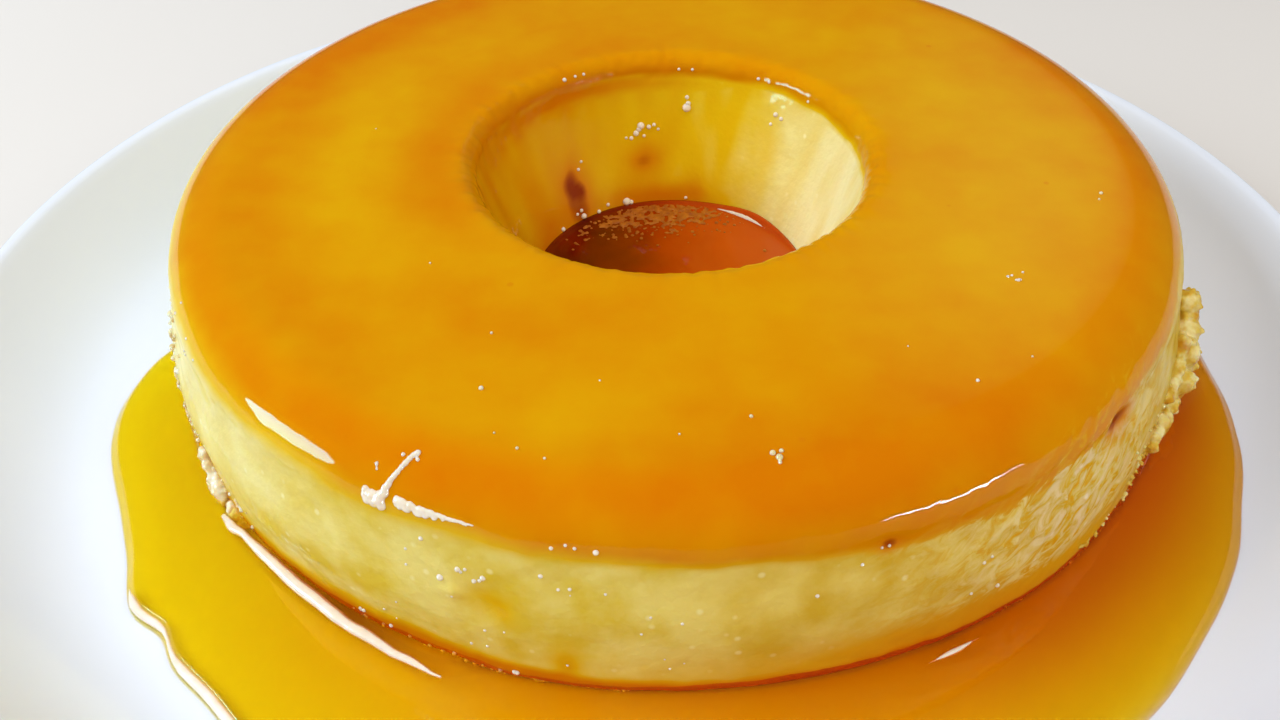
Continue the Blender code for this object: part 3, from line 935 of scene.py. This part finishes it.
# Burnt grains -----------------------------------------------------------------------------
# Grains of burnt custard that float at the back of the syrup in the hole.
def build_grains():
    pick = random.Random(5)
    material, tree, output = new_material("burnt custard grains")
    place = add_node(tree, "ShaderNodeTexCoord").outputs["Object"]
    char = add_node(tree, "ShaderNodeTexNoise", inputs={"Vector": place, "Scale": 700.0, "Detail": 2.0})
    colour = add_node(
        tree, "ShaderNodeMix", {"data_type": "RGBA"},
        {"Factor_Float": char.outputs["Fac"], "A_Color": linear("#7c2c00"), "B_Color": linear("#c87a1c")},
    )
    shader = add_node(
        tree, "ShaderNodeBsdfPrincipled",
        inputs={"Base Color": colour.outputs["Result"], "Roughness": 0.5, "Coat Weight": 0.15},
    )
    tree.links.new(shader.outputs[0], output.inputs["Surface"])
    lumps = []
    for _ in range(680):
        turn = math.radians(pick.gauss(96, 20))
        r = HOLE_RADII[1] + 0.0010 - abs(pick.gauss(0, 0.0046))
        radius = pick.uniform(0.00024, 0.00055)
        lumps.append((RING_CENTRE + Vector((r * math.cos(turn), r * math.sin(turn), HOLE_LEVEL - 0.25 * radius)), radius))
    piece("burnt_grains", fused(lumps, 0.00022, 0.00008), material)


build_grains()


# Painted highlight streaks ----------------------------------------------------------------
# Painted highlights: thin white threads of the milky whey material, floating on the syrup where
# reflections of the windows fall: along its bank at the left of the ring, down the pool's rounded
# left edge, one in front, and one at the back right of the hole.
# Each: azimuth, distance from the ring's axis, half thickness.
BANK_HIGHLIGHT = (
    (-142.5, 0.1020, 0.00060), (-140.5, 0.1022, 0.00100), (-138.5, 0.1016, 0.00070), (-134.0, 0.1016, 0.00105),
    (-128.0, 0.1020, 0.00120), (-121.0, 0.1028, 0.00110), (-116.0, 0.1036, 0.00080), (-112.0, 0.1043, 0.00035),
)
FRONT_HIGHLIGHT = ((-69.2, 0.1032, 0.00018), (-66.5, 0.1029, 0.00056), (-63.8, 0.1026, 0.00018))
HOLE_HIGHLIGHT = ((33, 0.0274, 0.00015), (50, 0.0277, 0.00062), (71, 0.0277, 0.00012))
EDGE_HIGHLIGHT = (
    (-140.5, 0.0, 0.00030), (-139.0, 0.0, 0.00105), (-136.5, 0.0, 0.00085), (-134.0, 0.0, 0.00050),
    (-130.0, 0.0, 0.00100), (-124.0, 0.0, 0.00110), (-117.0, 0.0, 0.00040),
)


def thread(rows, place):
    """Balls along a streak, close enough to run together; place gives the point for (turn, r)."""
    lumps = []
    count = 140
    for i in range(count):
        azimuth = rows[0][0] + (rows[-1][0] - rows[0][0]) * i / (count - 1)
        radius = along(rows, azimuth, 2) * (1.0 + 0.15 * noise.noise(Vector((azimuth * 0.6, 0, 0))))
        lumps.append((place(math.radians(azimuth), along(rows, azimuth), radius), radius))
    return lumps


def on_pool(turn, r, radius):
    start = RING_CENTRE + Vector((r * math.cos(turn), r * math.sin(turn), POOL_LEVEL + 0.01))
    place, normal = pool_skin.ray_cast(start, Vector((0.0, 0.0, -1.0)))[:2]
    return place - normal * 0.55 * radius


def on_edge(turn, r, radius):
    out = Vector((math.cos(turn), math.sin(turn), 0.0))
    start = RING_CENTRE + out * 0.16 + Vector((0.0, 0.0, POOL_LEVEL - 0.0014))
    place, normal = pool_skin.ray_cast(start, -out)[:2]
    return place - normal * 0.55 * radius


def in_ring(turn, r, radius):
    return RING_CENTRE + Vector((r * math.cos(turn), r * math.sin(turn), HOLE_LEVEL + 0.0003))


def build_painted_highlights():
    lumps = thread(BANK_HIGHLIGHT, on_pool) + thread(FRONT_HIGHLIGHT, on_pool)
    lumps += thread(EDGE_HIGHLIGHT, on_edge) + thread(HOLE_HIGHLIGHT, in_ring)
    # painted highlights: white threads in the whey material where reflections of the windows fall
    piece("painted_highlight_streaks", fused(lumps, 0.00020, 0.0, 3), bpy.data.materials["milky whey and painted highlights"])


build_painted_highlights()


# Stage ------------------------------------------------------------------------------------
# A plain pale table, a tall window to the left, soft overhead fill, and a small window right.
scene = bpy.context.scene
scene.view_settings.view_transform = "Standard"
shape = bmesh.new()
bmesh.ops.create_grid(shape, x_segments=1, y_segments=1, size=3.0)
mesh = bpy.data.meshes.new("floor")
shape.to_mesh(mesh)
shape.free()
floor = bpy.data.objects.new("floor", mesh)
scene.collection.objects.link(floor)
material, tree, output = new_material("pale table top")
shader = add_node(
    tree, "ShaderNodeBsdfPrincipled", inputs={"Base Color": linear("#e1dbd3"), "Roughness": 0.8, "Specular IOR Level": 0.0},
)
tree.links.new(shader.outputs[0], output.inputs["Surface"])
floor.data.materials.append(material)

world = bpy.data.worlds.new("room")
scene.world = world
world.use_nodes = True
world.node_tree.nodes["Background"].inputs["Color"].default_value = linear("#ffffff")
world.node_tree.nodes["Background"].inputs["Strength"].default_value = 0.05


def lamp(name, azimuth, elevation, distance, size, watts, tint, mirrored):
    """A soft lamp facing the ring from that direction, in degrees. A mirrored one only shows in gloss."""
    data = bpy.data.lights.new(name, "AREA")
    data.shape = "ELLIPSE" if mirrored else "RECTANGLE"
    data.size, data.size_y = size
    data.energy = watts
    data.color = linear(tint)[:3]
    made = bpy.data.objects.new(name, data)
    scene.collection.objects.link(made)
    a, e = math.radians(azimuth), math.radians(elevation)
    out = Vector((math.cos(a) * math.cos(e), math.sin(a) * math.cos(e), math.sin(e)))
    made.location = RING_CENTRE + out * distance
    made.rotation_euler = out.to_track_quat("Z", "Y").to_euler()
    made.visible_glossy = mirrored
    made.visible_diffuse = not mirrored
    return data


lamp("window_light", 178, 35, 1.0, (0.9, 0.5), 8.8, "#e6f2ff", False)
lamp("ceiling", -60, 85, 1.6, (2.0, 2.0), 17.2, "#fcfdff", False)
lamp("front_fill", -80, 33, 1.2, (0.9, 0.5), 4.6, "#fff9f4", False)
lamp("right_fill", -15, 40, 1.2, (0.9, 0.6), 2.6, "#fff8f4", False)
lamp("window_glint", -167.4, 14, 1.0, (0.43, 0.29), 8.6, "#88ecf6", True)
lamp("right_glint", -41.5, 4, 1.0, (0.50, 0.05), 3.8, "#b4e6ff", True)
lamp("sheen", 68, 33, 1.5, (0.70, 0.70), 0.0046, "#ffffff", True).spread = math.radians(24)

# The camera looks down on the ring from in front, close enough for the plate to run out of view.
AIM = RING_CENTRE + Vector((-0.0069, 0.0, RING_BASE - 0.0172))
ELEVATION = math.radians(40.85)
ROLL = math.radians(-1.46)
back = Vector((0.0, -math.cos(ELEVATION), math.sin(ELEVATION)))
level = Vector((1.0, 0.0, 0.0))
rise = back.cross(level)
across = level * math.cos(ROLL) + rise * math.sin(ROLL)
upward = rise * math.cos(ROLL) - level * math.sin(ROLL)
camera_data = bpy.data.cameras.new("camera")
camera_data.sensor_width = 36.0
camera_data.lens = 34.54
camera = bpy.data.objects.new("camera", camera_data)
scene.collection.objects.link(camera)
view = Matrix((across, upward, back)).transposed().to_4x4()
view.translation = AIM + back * 0.2763
camera.matrix_world = view
scene.camera = camera
